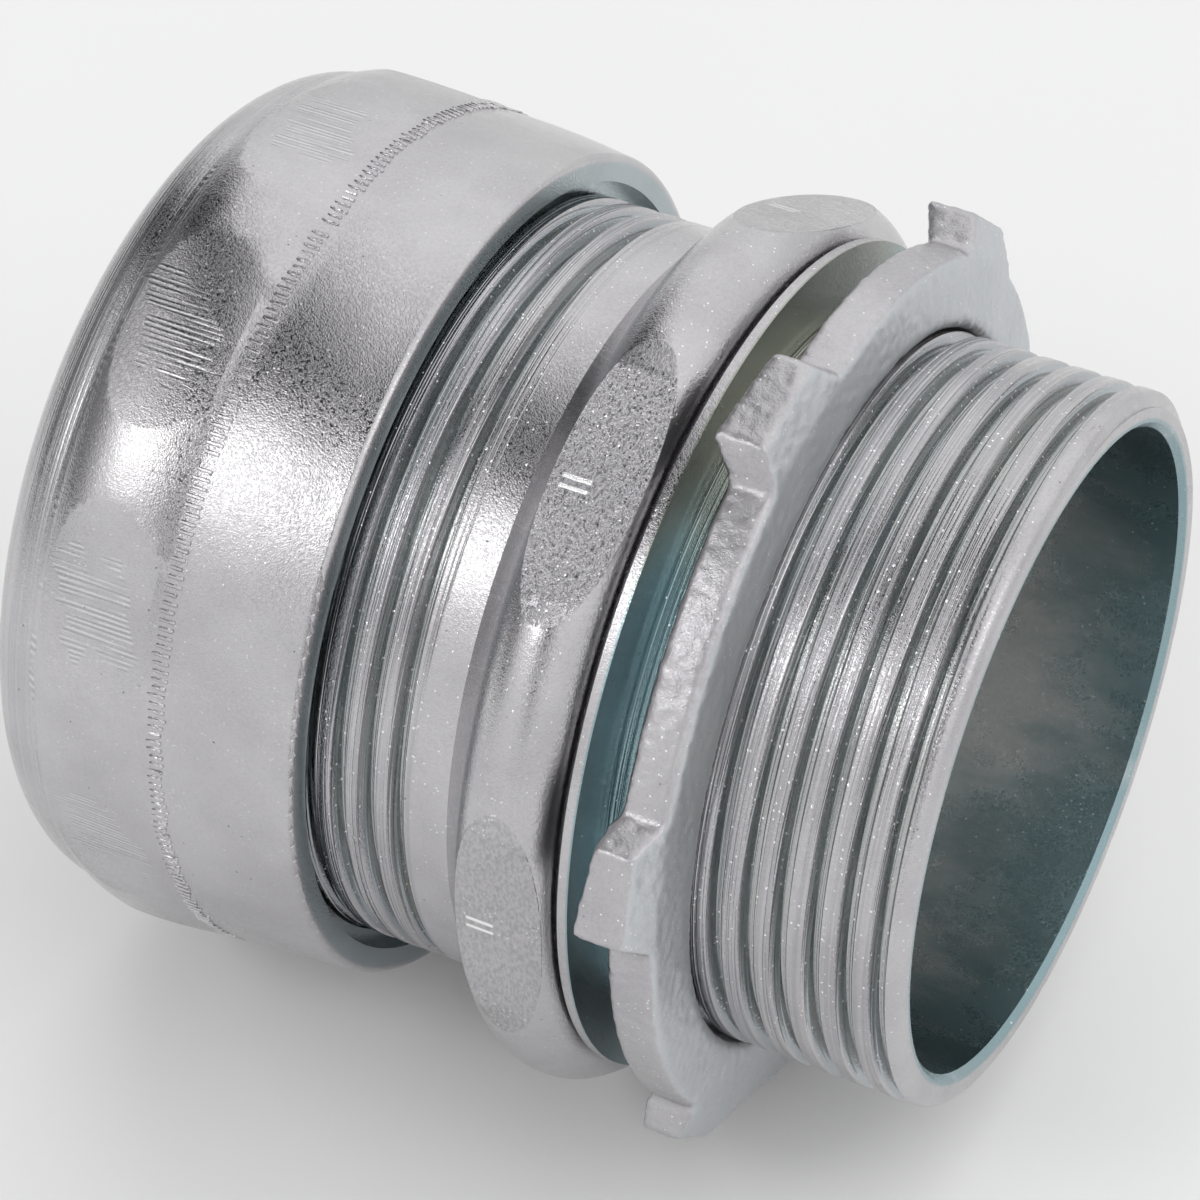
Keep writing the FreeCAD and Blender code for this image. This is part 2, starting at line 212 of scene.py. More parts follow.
def new_group(name, inputs, outputs):
    """An empty shader node group with named sockets: its wiring, its inputs and its output node."""
    tree = bpy.data.node_groups.new(name, "ShaderNodeTree")
    for label, kind in inputs:
        tree.interface.new_socket(name=label, in_out="INPUT", socket_type=kind)
    for label, kind in outputs:
        tree.interface.new_socket(name=label, in_out="OUTPUT", socket_type=kind)
    wiring = Wiring(tree)
    given = wiring.node("NodeGroupInput").outputs
    taken = wiring.node("NodeGroupOutput").inputs
    return wiring, given, taken


FLOAT = "NodeSocketFloat"
VECTOR = "NodeSocketVector"
COLOR = "NodeSocketColor"


def build_position_group():
    """Where a point is on a turned piece, in millimetres, and which way its surface faces."""
    wiring, _, taken = new_group("Turned Position", [], [
        ("Point", VECTOR), ("Along", FLOAT), ("Radius", FLOAT), ("Angle", FLOAT),
        ("Lathe", VECTOR), ("Facing", FLOAT),
    ])
    place = wiring.node("ShaderNodeTexCoord")
    point = wiring.scaled(place.outputs["Object"], (1 / MM, 1 / MM, 1 / MM))
    along, across, up = wiring.parts(point)
    radius = wiring.math("SQRT", wiring.math(
        "ADD", wiring.math("MULTIPLY", across, across), wiring.math("MULTIPLY", up, up)))
    angle = wiring.math("ARCTAN2", up, across)
    turn = wiring.vector(
        wiring.math("MULTIPLY", along, 5.5),
        wiring.math("MULTIPLY", across, 0.03),
        wiring.math("MULTIPLY", up, 0.03),
    )
    facing = wiring.parts(place.outputs["Normal"])[0]
    for socket, value in zip(taken, (point, along, radius, angle, turn, facing)):
        wiring.feed(socket, value)


def build_plating_group():
    """Zinc plating: cloudy tone, fine grain, dark pits and painted white glints."""
    wiring, given, taken = new_group("Zinc Plating", [
        ("Point", VECTOR), ("Bright", COLOR), ("Dull", COLOR), ("Mottle", FLOAT),
        ("Pits", FLOAT), ("Sparkle", FLOAT), ("Smooth", FLOAT), ("Rough", FLOAT),
    ], [("Color", COLOR), ("Roughness", FLOAT), ("Height", FLOAT)])
    point = given["Point"]
    cloud = wiring.step(wiring.noise(point, 0.16, 5.0, 0.55), 0.34, 0.68)
    grain = wiring.noise(point, 9.0, 2.0, 0.6)
    fleck = wiring.step(wiring.noise(point, 4.5, 3.0, 0.7), 0.40, 0.66)
    texture = wiring.blend(0.5, fleck, grain)
    tone = wiring.math("MULTIPLY", given["Mottle"], wiring.blend(0.55, cloud, texture))
    base = wiring.mix(tone, given["Bright"], given["Dull"])
    distance, chance = wiring.cells(point, 1.1)
    lucky = wiring.step(wiring.parts(chance)[0], 0.78, 0.80)
    spot = wiring.math("MULTIPLY", wiring.step(distance, 0.04, 0.11, 1.0, 0.0), lucky)
    pit = wiring.math("MULTIPLY", spot, given["Pits"])
    pitted = wiring.mix(pit, base, PIT)
    # painted glints: a scatter of white spots mixed into the colour
    glint_distance, glint_chance = wiring.cells(point, 3.0)
    glint_lucky = wiring.step(wiring.parts(glint_chance)[1], 0.80, 0.82)
    glint = wiring.math("MULTIPLY", wiring.step(glint_distance, 0.12, 0.26, 1.0, 0.0), glint_lucky)
    glint = wiring.math("MULTIPLY", glint, given["Sparkle"])
    wiring.feed(taken["Color"], wiring.mix(glint, pitted, WHITE))
    rough = wiring.blend(wiring.blend(0.3, cloud, fleck), given["Smooth"], given["Rough"])
    wiring.feed(taken["Roughness"], wiring.blend(pit, rough, 0.7))
    height = wiring.math("SUBTRACT", wiring.blend(0.35, grain, fleck), wiring.math("MULTIPLY", pit, 1.2))
    wiring.feed(taken["Height"], wiring.math("ADD", height, wiring.math("MULTIPLY", glint, 1.2)))


def build_lathe_group():
    """Fine lines left by a tool as the piece turned, broken up along their way round."""
    wiring, given, taken = new_group("Lathe Lines", [
        ("Lathe", VECTOR), ("Strength", FLOAT),
    ], [("Line", FLOAT)])
    fine = wiring.noise(given["Lathe"], 1.0, 1.5, 0.5)
    line = wiring.step(fine, 0.40, 0.60)
    wiring.feed(taken["Line"], wiring.math("MULTIPLY", line, given["Strength"]))


def build_spark_group():
    """A scatter of tiny painted glints."""
    wiring, given, taken = new_group("Sparks", [("Point", VECTOR), ("Amount", FLOAT)], [("Spark", FLOAT)])
    distance, chance = wiring.cells(given["Point"], 2.2)
    chosen = wiring.math("LESS_THAN", wiring.parts(chance)[2], given["Amount"])
    wiring.feed(taken["Spark"], wiring.math(
        "MULTIPLY", wiring.step(distance, 0.10, 0.24, 1.0, 0.0), chosen))


def build_flat_group():
    """Flats round a turned piece: how far across its flat a point is, and whether it is on one."""
    wiring, given, taken = new_group("Flats Round", [
        ("Angle", FLOAT), ("Radius", FLOAT), ("Count", FLOAT), ("Turn", FLOAT), ("Reach", FLOAT),
    ], [("Across", FLOAT), ("Flat", FLOAT)])
    share_of_turn = wiring.math("DIVIDE", 2 * math.pi, given["Count"])
    half = wiring.math("MULTIPLY", share_of_turn, 0.5)
    turned = wiring.math("ADD", wiring.math("SUBTRACT", given["Angle"], given["Turn"]), half)
    number = wiring.math("FLOOR", wiring.math("DIVIDE", turned, share_of_turn))
    local = wiring.math("SUBTRACT", wiring.math(
        "SUBTRACT", turned, wiring.math("MULTIPLY", number, share_of_turn)), half)
    wiring.feed(taken["Across"], wiring.math(
        "MULTIPLY", given["Radius"], wiring.math("SINE", local)))
    height = wiring.math("MULTIPLY", given["Radius"], wiring.math("COSINE", local))
    below = wiring.math("ABSOLUTE", wiring.math("SUBTRACT", height, given["Reach"]))
    wiring.feed(taken["Flat"], wiring.step(below, 0.015, 0.05, 1.0, 0.0))


# ---------------------------------------------------------------- settings

def mm(name, description, default, low=0.0, high=200.0):
    """A length property in millimetres."""
    return bpy.props.FloatProperty(
        name=name, description=description, default=default, min=low, max=high, precision=3)


def colour(name, description, default):
    """A colour property."""
    return bpy.props.FloatVectorProperty(
        name=name, description=description, default=default, size=3, min=0.0, max=1.0, subtype="COLOR")


def share(name, description, default):
    """A property from 0 to 1."""
    return bpy.props.FloatProperty(
        name=name, description=description, default=default, min=0.0, max=1.0, subtype="FACTOR")


class ZincSettings(bpy.types.PropertyGroup):
    """Colours and gloss of the zinc plating, and colours for its painted shade and reflection."""

    bright: colour("Bright zinc", "Colour of clean plating", (0.575, 0.565, 0.575))
    dull: colour("Dull zinc", "Colour of clouded plating", (0.40, 0.39, 0.41))
    # blue and tan are painted reflection on the flanks of the thread grooves
    blue: colour("Blue tint", "Colour of plating in the gaps and grooves", (0.36, 0.42, 0.45))
    tan: colour("Tan tint", "Colour of the stained thread flanks", (0.50, 0.48, 0.42))
    # olive and teal are painted shade and reflection in the gap before the locknut; teal also paints shade
    # inside the nut's mouth and colours the bore towards the nose end
    olive: colour("Olive tint", "Colour of plating at the top of the gaps", (0.34, 0.36, 0.30))
    teal: colour("Deep teal", "Colour of plating deep in the bore and the gaps", (0.23, 0.37, 0.40))
    warm: colour("Warm grey", "Colour of the dry patches in the bore", (0.78, 0.79, 0.77))
    smooth: share("Smooth", "Roughness of the brightest plating", 0.10)
    rough: share("Rough", "Roughness of the dullest plating", 0.20)
    facet_pitch: mm("Chatter pitch", "Distance between chatter marks on the nut's flats", 0.34)


class StageSettings(bpy.types.PropertyGroup):
    """Floor, lights and camera."""

    floor: colour("Floor", "Colour of the floor", (0.95, 0.95, 0.95))
    sky: bpy.props.FloatProperty(
        name="Sky", description="Brightness of the light tent", default=1.12, min=0.0, max=10.0)
    key: bpy.props.FloatProperty(
        name="Key light", description="Power of the main lamp",
        default=0.33, min=0.0, max=100.0, unit="POWER")
    lens: bpy.props.FloatProperty(
        name="Lens", description="Focal length", default=135.0, min=10.0, max=500.0, unit="CAMERA")
    azimuth: bpy.props.FloatProperty(
        name="Camera azimuth", description="Turn of the camera round the object",
        default=math.radians(27.3765), subtype="ANGLE")
    elevation: bpy.props.FloatProperty(
        name="Camera elevation", description="Height of the camera above the horizon",
        default=math.radians(41.0036), subtype="ANGLE")
    place: bpy.props.FloatVectorProperty(
        name="Camera place", description="Where the camera stands", size=3,
        default=(0.09163652, -0.20082618, 0.19662024), subtype="TRANSLATION", unit="LENGTH")


# ---------------------------------------------------------------- pieces

def deselect():
    """Clear the selection and leave edit mode."""
    if bpy.context.object and bpy.context.object.mode != "OBJECT":
        bpy.ops.object.mode_set(mode="OBJECT")
    bpy.ops.object.select_all(action="DESELECT")


def pick(piece):
    """Make this the one selected and active object."""
    deselect()
    piece.select_set(True)
    bpy.context.view_layer.objects.active = piece


def refined_copy(node, name, body, smooth_angle):
    """A welded copy of a CAD node with smooth shading, that stands for it."""
    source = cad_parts[node]
    piece = bpy.data.objects.new(name, source.data.copy())
    bpy.context.scene.collection.objects.link(piece)
    piece.data.materials.clear()
    pick(piece)
    bpy.ops.object.mode_set(mode="EDIT")
    bpy.ops.mesh.select_all(action="SELECT")
    bpy.ops.mesh.remove_doubles(threshold=2e-6)
    bpy.ops.mesh.customdata_custom_splitnormals_clear()
    bpy.ops.object.mode_set(mode="OBJECT")
    bpy.ops.object.shade_smooth_by_angle(angle=math.radians(smooth_angle))
    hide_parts(node)
    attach(piece, body)
    return piece


def apply_modifier(piece, kind, **settings):
    """Add a modifier with those settings to a piece and apply it."""
    pick(piece)
    bpy.ops.object.modifier_add(type=kind)
    modifier = piece.modifiers[-1]
    for name, value in settings.items():
        setattr(modifier, name, value)
    bpy.ops.object.modifier_apply(modifier=modifier.name)


def tick_ring():
    """A broken ring of short raised ticks along the axis, round the nut's belly."""
    chance = random.Random(11)
    deselect()
    bpy.ops.mesh.primitive_cube_add(size=1.0)
    first = bpy.context.object
    first.name = "nut_ticks"
    first.scale = (1.15 * MM, 0.26 * MM, 0.24 * MM)
    bpy.ops.object.transform_apply(location=False, rotation=False, scale=True)
    apply_modifier(first, "BEVEL", width=0.07 * MM, segments=1)
    copies = []
    for number in range(TICKS):
        turn = 2 * math.pi * number / TICKS
        if chance.random() < 0.04:
            continue
        copy = bpy.data.objects.new("tick", first.data.copy())
        bpy.context.scene.collection.objects.link(copy)
        copy.rotation_euler = (turn, 0.0, 0.0)
        copy.scale = (chance.uniform(0.8, 1.1), chance.uniform(0.85, 1.1), 1.0)
        reach = (TICK_REACH - 0.03 + chance.uniform(-0.02, 0.03)) * MM
        place = TICK_RING * MM + chance.uniform(-0.12, 0.12) * MM
        copy.location = (place, -math.sin(turn) * reach, math.cos(turn) * reach)
        copies.append(copy)
    bpy.data.objects.remove(first)
    deselect()
    for copy in copies:
        copy.select_set(True)
    bpy.context.view_layer.objects.active = copies[0]
    bpy.ops.object.join()
    ring = bpy.context.object
    ring.name = "nut_ticks"
    bpy.ops.object.transform_apply(location=True, rotation=True, scale=True)
    bpy.ops.object.shade_smooth_by_angle(angle=math.radians(40))
    return ring


def metal_material(name):
    """A bare metal material: its wiring, its shader and a bump node on its normal."""
    material = bpy.data.materials.new(name)
    material.use_nodes = True
    material.node_tree.nodes.clear()
    wiring = Wiring(material.node_tree)
    shader = wiring.node("ShaderNodeBsdfPrincipled")
    shader.inputs["Metallic"].default_value = 1.0
    shader.inputs["Specular IOR Level"].default_value = 0.5
    bump = wiring.node("ShaderNodeBump")
    bump.inputs["Distance"].default_value = 0.00006
    bump.inputs["Strength"].default_value = 0.28
    wiring.feed(shader.inputs["Normal"], bump.outputs[0])
    out = wiring.node("ShaderNodeOutputMaterial")
    wiring.feed(out.inputs["Surface"], shader.outputs[0])
    return material, wiring, shader, bump


def rgba(value):
    """A colour with full alpha."""
    return (value[0], value[1], value[2], 1.0)


def plating(wiring, zinc, place, mottle=0.8, pits=0.8, sparkle=0.5):
    """The zinc plating group placed in a material."""
    return wiring.group(
        "Zinc Plating", Point=place["Point"], Bright=rgba(zinc.bright), Dull=rgba(zinc.dull),
        Mottle=mottle, Pits=pits, Sparkle=sparkle, Smooth=zinc.smooth, Rough=zinc.rough)


class FITTING_OT_body(bpy.types.Operator):
    """Finish the connector body: nose, bead, gland thread and bore"""

    bl_idname = "fitting.finish_body"
    bl_label = "Finish connector body"

    def execute(self, context):
        zinc = context.scene.fitting_zinc
        piece = refined_copy("connector_body", "connector_body_finish", "connector", 32)
        material, wiring, shader, bump = metal_material("body zinc")
        place = wiring.group("Turned Position")
        plated = plating(wiring, zinc, place, 0.8, 0.7, 0.8)
        lathe = wiring.group("Lathe Lines", Lathe=place["Lathe"], Strength=1.0)["Line"]
        along, radius, facing = place["Along"], place["Radius"], place["Facing"]
        bore = wiring.step(radius, *BORE_EDGE, 1.0, 0.0)
        outside = wiring.math("SUBTRACT", 1.0, bore)
        on_nose = wiring.band(along, 0.5, NOSE_END - 1.2, 0.3)
        on_gland = wiring.step(along, -12.4, -12.2, 1.0, 0.0)
        nose_groove = wiring.math("MULTIPLY", on_nose, wiring.step(radius, *NOSE_GROOVE_EDGE, 1.0, 0.0))
        gland_groove = wiring.math("MULTIPLY", on_gland, wiring.step(radius, *GLAND_GROOVE_EDGE, 1.0, 0.0))
        # painted shade and reflection in the thread grooves: tan on flanks facing the back, blue on flanks
        # facing the nose
        groove = wiring.math("MULTIPLY", wiring.math("MAXIMUM", nose_groove, gland_groove), outside)
        flank = wiring.step(facing, -0.25, 0.25)
        flank_reflection = wiring.mix(flank, rgba(zinc.tan), rgba(zinc.blue))
        painted_light_tint = wiring.mix(wiring.math("MULTIPLY", groove, 0.7), plated["Color"], flank_reflection)
        threaded = wiring.math("MULTIPLY", wiring.math("MAXIMUM", on_nose, on_gland), outside)
        scored = wiring.math("MULTIPLY", threaded, lathe)
        lined = wiring.mix(wiring.math("MULTIPLY", scored, 0.3), painted_light_tint, SCORE)
        flats = wiring.group(
            "Flats Round", Angle=place["Angle"], Radius=radius, Count=BEAD_FACETS,
            Turn=FACET_TURN, Reach=FACET_REACH)
        facet = wiring.math("MULTIPLY", flats["Flat"], wiring.band(along, -9.0, -1.2, 0.1))
        hammer = wiring.noise(wiring.scaled(place["Point"], (4.5, 2.4, 2.4)), 1.0, 3.0, 0.7)
        hammered = wiring.math("MULTIPLY", facet, wiring.step(hammer, 0.40, 0.62))
        lined = wiring.mix(wiring.math("MULTIPLY", hammered, 0.35), lined, HAMMER_SHADE)
        nick = wiring.math(
            "MAXIMUM",
            wiring.band(flats["Across"], 0.1, 0.3, 0.08),
            wiring.band(flats["Across"], 0.8, 0.95, 0.08))
        nick = wiring.math("MULTIPLY", nick, facet)
        nick = wiring.math("MULTIPLY", nick, wiring.band(along, -6.6, -4.9, 0.2))
        lined = wiring.mix(nick, lined, NICK_SHINE)
        # painted shade and reflection in the gap before the locknut: olive higher up, teal lower down
        lower = wiring.step(wiring.parts(place["Point"])[2], 18.0, 24.0, 1.0, 0.0)
        gap_shade_colour = wiring.mix(lower, rgba(zinc.olive), rgba(zinc.teal))
        gap = wiring.band(along, -0.05, 1.6, 0.15)
        shaded = wiring.mix(wiring.math("MULTIPLY", gap, 0.8), lined, gap_shade_colour)
        # bore colour: teal towards the nose end and warm grey further back, in cloudy patches, with painted
        # glints
        cloud = wiring.noise(wiring.scaled(place["Point"], (0.05, 0.11, 0.11)), 1.0, 6.0, 0.65)
        drift = wiring.math("ADD", along, wiring.math("MULTIPLY", wiring.math("SUBTRACT", cloud, 0.5), 40.0))
        rearward = wiring.step(drift, NOSE_END - 16, NOSE_END - 1, 1.0, 0.0)
        warm = wiring.mix(rearward, rgba(zinc.teal), rgba(zinc.warm))
        glitter = wiring.mix(0.14, warm, plated["Color"])
        sparks = wiring.group("Sparks", Point=place["Point"], Amount=0.10)["Spark"]
        glitter = wiring.mix(sparks, glitter, BORE_SPARK)
        final = wiring.mix(wiring.math("MULTIPLY", bore, 0.95), shaded, glitter)
        # painted white glints on the threads
        painted_glints = wiring.group("Sparks", Point=place["Point"], Amount=0.30)["Spark"]
        painted_glints = wiring.math("MULTIPLY", painted_glints, threaded)
        final = wiring.mix(painted_glints, final, WHITE)
        wiring.feed(shader.inputs["Base Color"], final)
        satin = wiring.math("ADD", plated["Roughness"], wiring.math("MULTIPLY", bore, 0.12))
        wiring.feed(shader.inputs["Roughness"], satin)
        relief = wiring.math("ADD", plated["Height"], wiring.math("MULTIPLY", scored, 3.0))
        relief = wiring.math("ADD", relief, wiring.math("MULTIPLY", painted_glints, 2.5))
        relief = wiring.math("ADD", relief, wiring.math("MULTIPLY", hammered, 1.8))
        relief = wiring.math("ADD", relief, wiring.math("MULTIPLY", nick, 2.0))
        wiring.feed(bump.inputs["Height"], relief)
        piece.data.materials.append(material)
        return {"FINISHED"}


class FITTING_OT_nut(bpy.types.Operator):
    """Finish the gland nut: chatter marks on its flats, knurled ring and lathe lines at its heel"""

    bl_idname = "fitting.finish_nut"
    bl_label = "Finish gland nut"

    def execute(self, context):
        zinc = context.scene.fitting_zinc
        piece = refined_copy("gland_nut", "gland_nut_finish", "nut", 30)
        material, wiring, shader, bump = metal_material("nut zinc")
        place = wiring.group("Turned Position")
        plated = plating(wiring, zinc, place, 0.7, 0.8, 0.35)
        lathe = wiring.group("Lathe Lines", Lathe=place["Lathe"], Strength=1.0)["Line"]
        along, angle = place["Along"], place["Angle"]
        heel = wiring.step(along, NUT_MOUTH - 20.5, NUT_MOUTH - 17.0, 1.0, 0.0)
        scored = wiring.math("MULTIPLY", heel, lathe)
        lined = wiring.mix(wiring.math("MULTIPLY", scored, 0.22), plated["Color"], NUT_SCORE)
        outside = wiring.step(place["Radius"], *NUT_INSIDE_EDGE)

        # chatter marks: a slanted patch of fine lines along the axis on each flat, painted as highlight on
        # one half of each line and shade on the other
        flats = wiring.group(
            "Flats Round", Angle=angle, Radius=place["Radius"], Count=NUT_FLATS,
            Turn=NUT_FLAT_TURN, Reach=NUT_FLAT_REACH)
        across = flats["Across"]
        behind = wiring.math("SUBTRACT", NUT_MOUTH, along)
        slant = wiring.math("ADD", behind, wiring.math("MULTIPLY", across, 0.35))
        uneven = wiring.noise(wiring.scaled(place["Point"], (0.5, 0.5, 0.5)), 1.0, 2.0)
        width = wiring.math("MULTIPLY", wiring.math("SUBTRACT", uneven, 0.5), 5.0)
        patch = wiring.math(
            "MULTIPLY",
            wiring.band(wiring.math("ADD", slant, width), 12.4, 17.2, 0.3),
            wiring.band(wiring.math("ADD", across, width), -3.0, 3.0, 0.4))
        wobble = wiring.noise(wiring.scaled(place["Point"], (0.10, 0.9, 0.9)), 1.0, 1.0)
        phase = wiring.math("ADD", across, wiring.math("MULTIPLY", wobble, 0.35))
        wave = wiring.math("SINE", wiring.math("MULTIPLY", phase, 2 * math.pi / zinc.facet_pitch))
        strong = wiring.noise(wiring.scaled(place["Point"], (0.2, 2.6, 2.6)), 1.0, 2.0)
        strong = wiring.step(strong, 0.40, 0.58)
        chatter = wiring.math("MULTIPLY", wiring.math("MULTIPLY", wave, patch), strong)

        # a faint broken row of nicks where the flats meet the heel, painted as highlight and shade like the
        # chatter marks
        dash = wiring.math("SINE", wiring.math("MULTIPLY", angle, 300.0))
        patchy = wiring.noise(wiring.scaled(place["Point"], (0.2, 0.35, 0.35)), 1.0, 3.0)
        patchy = wiring.step(patchy, 0.46, 0.60)
        row = wiring.math("MULTIPLY", wiring.band(behind, 18.6, 19.0, 0.12), patchy)
        nicks = wiring.math("MULTIPLY", wiring.math("MULTIPLY", row, dash), 0.8)
        chatter = wiring.math("ADD", chatter, nicks)
        marks = wiring.math("MULTIPLY", chatter, outside)
        light_and_shade = wiring.mix(
            wiring.math("MULTIPLY", wiring.math("MAXIMUM", marks, 0.0), 0.5), lined, CHATTER_SHINE)
        dark = wiring.math("MULTIPLY", wiring.math("MINIMUM", marks, 0.0), -0.4)
        light_and_shade = wiring.mix(dark, light_and_shade, CHATTER_SHADE)
        # painted teal shade inside the mouth of the nut and on its lip face
        facing = wiring.step(place["Facing"], 0.6, 0.9)
        lip = wiring.math("MULTIPLY", facing, wiring.step(place["Radius"], *NUT_LIP_EDGE, 1.0, 0.0))
        inside = wiring.math("MAXIMUM", lip, wiring.math("SUBTRACT", 1.0, outside))
        inside = wiring.math("MULTIPLY", inside, wiring.step(along, NUT_MOUTH - 6, NUT_MOUTH - 4))
        light_and_shade = wiring.mix(wiring.math("MULTIPLY", inside, 0.45), light_and_shade, rgba(zinc.teal))
        wiring.feed(shader.inputs["Base Color"], light_and_shade)
        wiring.feed(shader.inputs["Roughness"], plated["Roughness"])
        relief = wiring.math("ADD", plated["Height"], wiring.math("MULTIPLY", scored, 1.2))
        wiring.feed(bump.inputs["Height"], wiring.math("ADD", relief, wiring.math("MULTIPLY", marks, 0.6)))
        piece.data.materials.append(material)

        ticks = tick_ring()
        ticks.data.materials.append(material)
        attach(ticks, "nut")
        return {"FINISHED"}


class FITTING_OT_ring(bpy.types.Operator):
    """Finish the split compression ring inside the nut"""

    bl_idname = "fitting.finish_ring"
    bl_label = "Finish compression ring"

    def execute(self, context):
        zinc = context.scene.fitting_zinc
        piece = refined_copy("compression_ring", "compression_ring_finish", "ring", 30)
        material, wiring, shader, bump = metal_material("ring zinc")
        place = wiring.group("Turned Position")
        plated = plating(wiring, zinc, place, 1.0, 0.6, 0.3)
        wiring.feed(shader.inputs["Base Color"], plated["Color"])
        wiring.feed(shader.inputs["Roughness"], plated["Roughness"])
        wiring.feed(bump.inputs["Height"], plated["Height"])
        piece.data.materials.append(material)
        return {"FINISHED"}


class FITTING_OT_locknut(bpy.types.Operator):
    """Finish the locknut: rough pressed rim and lugs, smoother face"""

    bl_idname = "fitting.finish_locknut"
    bl_label = "Finish locknut"

    def execute(self, context):
        zinc = context.scene.fitting_zinc
        piece = refined_copy("locknut", "locknut_finish", "lock", 30)
        apply_modifier(piece, "REMESH", mode="VOXEL", voxel_size=LOCKNUT_VOXEL * MM)
        apply_modifier(piece, "SMOOTH", factor=0.6, iterations=14)
        sheared = bpy.data.textures.new("sheared steel", "CLOUDS")
        sheared.noise_scale = LOCKNUT_GRAIN * MM
        sheared.noise_depth = 3
        apply_modifier(
            piece, "DISPLACE", texture=sheared, texture_coords="LOCAL",
            strength=LOCKNUT_GRAIN_DEPTH * MM, mid_level=0.5)
        for vertex in piece.data.vertices:
            spread = math.hypot(vertex.co.y, vertex.co.z)
            if spread < LOCKNUT_BORE:
                grow = LOCKNUT_BORE / spread
                vertex.co.y *= grow
                vertex.co.z *= grow
        pick(piece)
        bpy.ops.object.shade_smooth()
        material, wiring, shader, bump = metal_material("locknut zinc")
        place = wiring.group("Turned Position")
        plated = plating(wiring, zinc, place, 0.9, 0.6, 0.9)
        face = wiring.step(place["Facing"], 0.55, 0.85)
        # painted light: the front face is coloured paler and bluish to make up for the darker things it
        # reflects
        painted_light_tint = wiring.mix(wiring.math("MULTIPLY", face, 0.5), plated["Color"], LOCKNUT_FACE_PAINTED_LIGHT)
        wiring.feed(shader.inputs["Base Color"], painted_light_tint)
        cast = wiring.noise(place["Point"], 2.2, 4.0, 0.7)
        rim_rough = wiring.blend(face, 0.32, 0.45)
        wiring.feed(shader.inputs["Roughness"], rim_rough)
        rim = wiring.math("SUBTRACT", 1.0, face)
        relief = wiring.math("ADD", plated["Height"], wiring.math(
            "MULTIPLY", wiring.math("MULTIPLY", cast, rim), 2.0))
        wiring.feed(bump.inputs["Height"], relief)
        piece.data.materials.append(material)
        return {"FINISHED"}


# ---------------------------------------------------------------- stage

def area_lamp(name, place, aim, size, power):
    """A square lamp at place, pointing at aim."""
    data = bpy.data.lights.new(name, "AREA")
    data.energy = power
    data.size = size
    lamp = bpy.data.objects.new(name, data)
    lamp.location = place
    lamp.rotation_euler = (Vector(aim) - Vector(place)).to_track_quat("-Z", "Y").to_euler()
    bpy.context.scene.collection.objects.link(lamp)
    return lamp


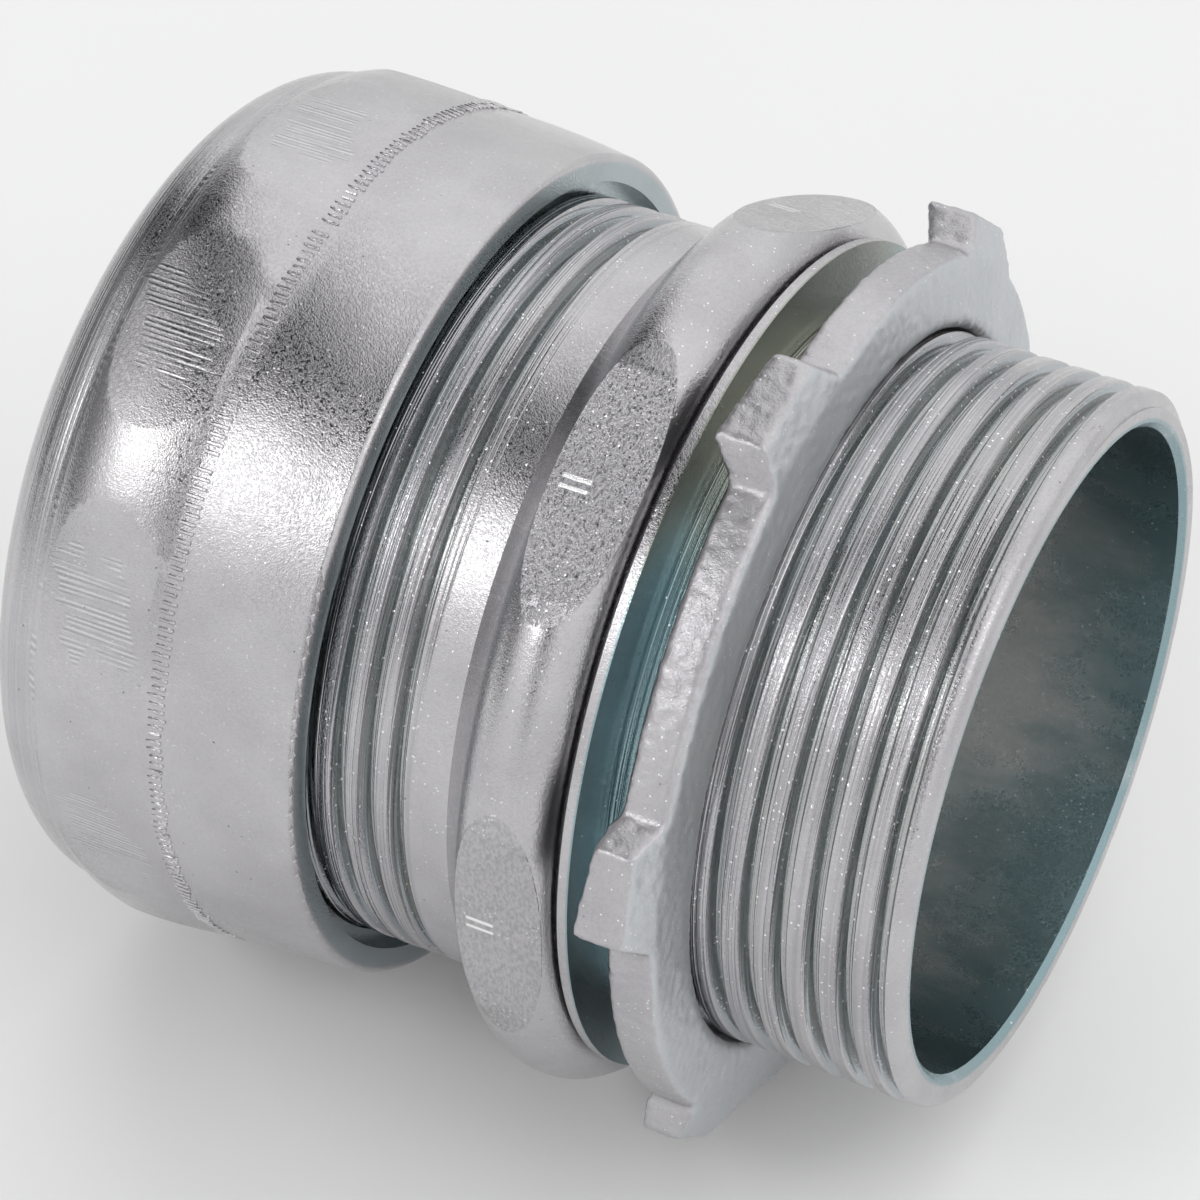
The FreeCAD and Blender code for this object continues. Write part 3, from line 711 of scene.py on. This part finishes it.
class FITTING_OT_stage(bpy.types.Operator):
    """Set the floor, the light tent, the lamps and the camera"""

    bl_idname = "fitting.set_stage"
    bl_label = "Set stage"

    def execute(self, context):
        stage = context.scene.fitting_stage
        deselect()
        bpy.ops.mesh.primitive_plane_add(size=6.0, location=(0.0, 0.0, CAD_BOX[0].z))
        floor = context.object
        floor.name = "floor"
        bpy.ops.object.transform_apply(location=True, rotation=True, scale=True)
        material = bpy.data.materials.new("floor paper")
        material.use_nodes = True
        shader = material.node_tree.nodes["Principled BSDF"]
        shader.inputs["Base Color"].default_value = rgba(stage.floor)
        shader.inputs["Roughness"].default_value = 0.9
        shader.inputs["Specular IOR Level"].default_value = 0.1
        floor.data.materials.append(material)

        world = bpy.data.worlds.new("light tent")
        world.use_nodes = True
        world.node_tree.nodes.clear()
        wiring = Wiring(world.node_tree)
        look = wiring.node("ShaderNodeTexCoord").outputs["Generated"]
        x, y, z = wiring.parts(look)
        x_off = wiring.math("MULTIPLY", wiring.math("ADD", x, 0.42), 0.42)
        y_off = wiring.math("ADD", y, wiring.math("MULTIPLY_ADD", x, 1.4, 0.68))
        away = wiring.math("SQRT", wiring.math(
            "ADD", wiring.math("MULTIPLY", x_off, x_off), wiring.math("MULTIPLY", y_off, y_off)))
        flag = wiring.math("MULTIPLY", wiring.step(away, 0.25, 0.30, 1.0, 0.0), wiring.step(z, 0.1, 0.3))
        side = wiring.step(x, -0.86, -0.70, 0.75, 0.0)
        flag = wiring.math("MAXIMUM", flag, side)
        dimmed = wiring.step(z, -0.2, 0.7, 0.72, 1.0)
        tone = wiring.mix(flag, WHITE, TENT_GAP)
        tone = wiring.mix(1.0, tone, wiring.vector(dimmed, dimmed, dimmed), "MULTIPLY")
        background = wiring.node("ShaderNodeBackground")
        wiring.feed(background.inputs["Color"], tone)
        background.inputs["Strength"].default_value = stage.sky
        out = wiring.node("ShaderNodeOutputWorld")
        wiring.feed(out.inputs["Surface"], background.outputs[0])
        context.scene.world = world

        area_lamp("key", (-0.21, -0.40, 0.43), (0.0, 0.0, 0.0), 0.16, stage.key)
        area_lamp("fill", (0.50, -0.10, 0.45), (0.0, 0.0, 0.0), 0.25, stage.key * 0.5)

        data = bpy.data.cameras.new("camera")
        data.lens = stage.lens
        data.sensor_width = 36.0
        data.clip_start = 0.01
        camera = bpy.data.objects.new("camera", data)
        camera.location = stage.place
        camera.rotation_euler = (math.pi / 2 - stage.elevation, 0.0, stage.azimuth)
        context.scene.collection.objects.link(camera)
        context.scene.camera = camera
        context.scene.view_settings.view_transform = "Standard"
        return {"FINISHED"}


class FITTING_PT_panel(bpy.types.Panel):
    """The connector's finish in the sidebar"""

    bl_idname = "FITTING_PT_panel"
    bl_label = "Compression connector"
    bl_space_type = "VIEW_3D"
    bl_region_type = "UI"
    bl_category = "Connector"

    def draw(self, context):
        for settings in (context.scene.fitting_zinc, context.scene.fitting_stage):
            box = self.layout.box()
            for name in settings.__annotations__:
                box.prop(settings, name)
        for step in STEPS:
            self.layout.operator(step.bl_idname)


STEPS = (FITTING_OT_stage, FITTING_OT_body, FITTING_OT_nut, FITTING_OT_ring, FITTING_OT_locknut)
CLASSES = (ZincSettings, StageSettings) + STEPS + (FITTING_PT_panel,)


def register():
    """Add the classes and the scene's settings."""
    for item in CLASSES:
        bpy.utils.register_class(item)
    bpy.types.Scene.fitting_zinc = bpy.props.PointerProperty(type=ZincSettings)
    bpy.types.Scene.fitting_stage = bpy.props.PointerProperty(type=StageSettings)


def unregister():
    """Remove the scene's settings and the classes."""
    del bpy.types.Scene.fitting_stage
    del bpy.types.Scene.fitting_zinc
    for item in reversed(CLASSES):
        bpy.utils.unregister_class(item)


def main():
    """Make the finishes in order."""
    register()
    build_position_group()
    build_plating_group()
    build_lathe_group()
    build_spark_group()
    build_flat_group()
    bpy.ops.fitting.set_stage()
    bpy.ops.fitting.finish_body()
    bpy.ops.fitting.finish_nut()
    bpy.ops.fitting.finish_ring()
    bpy.ops.fitting.finish_locknut()


if __name__ == "__main__":
    main()
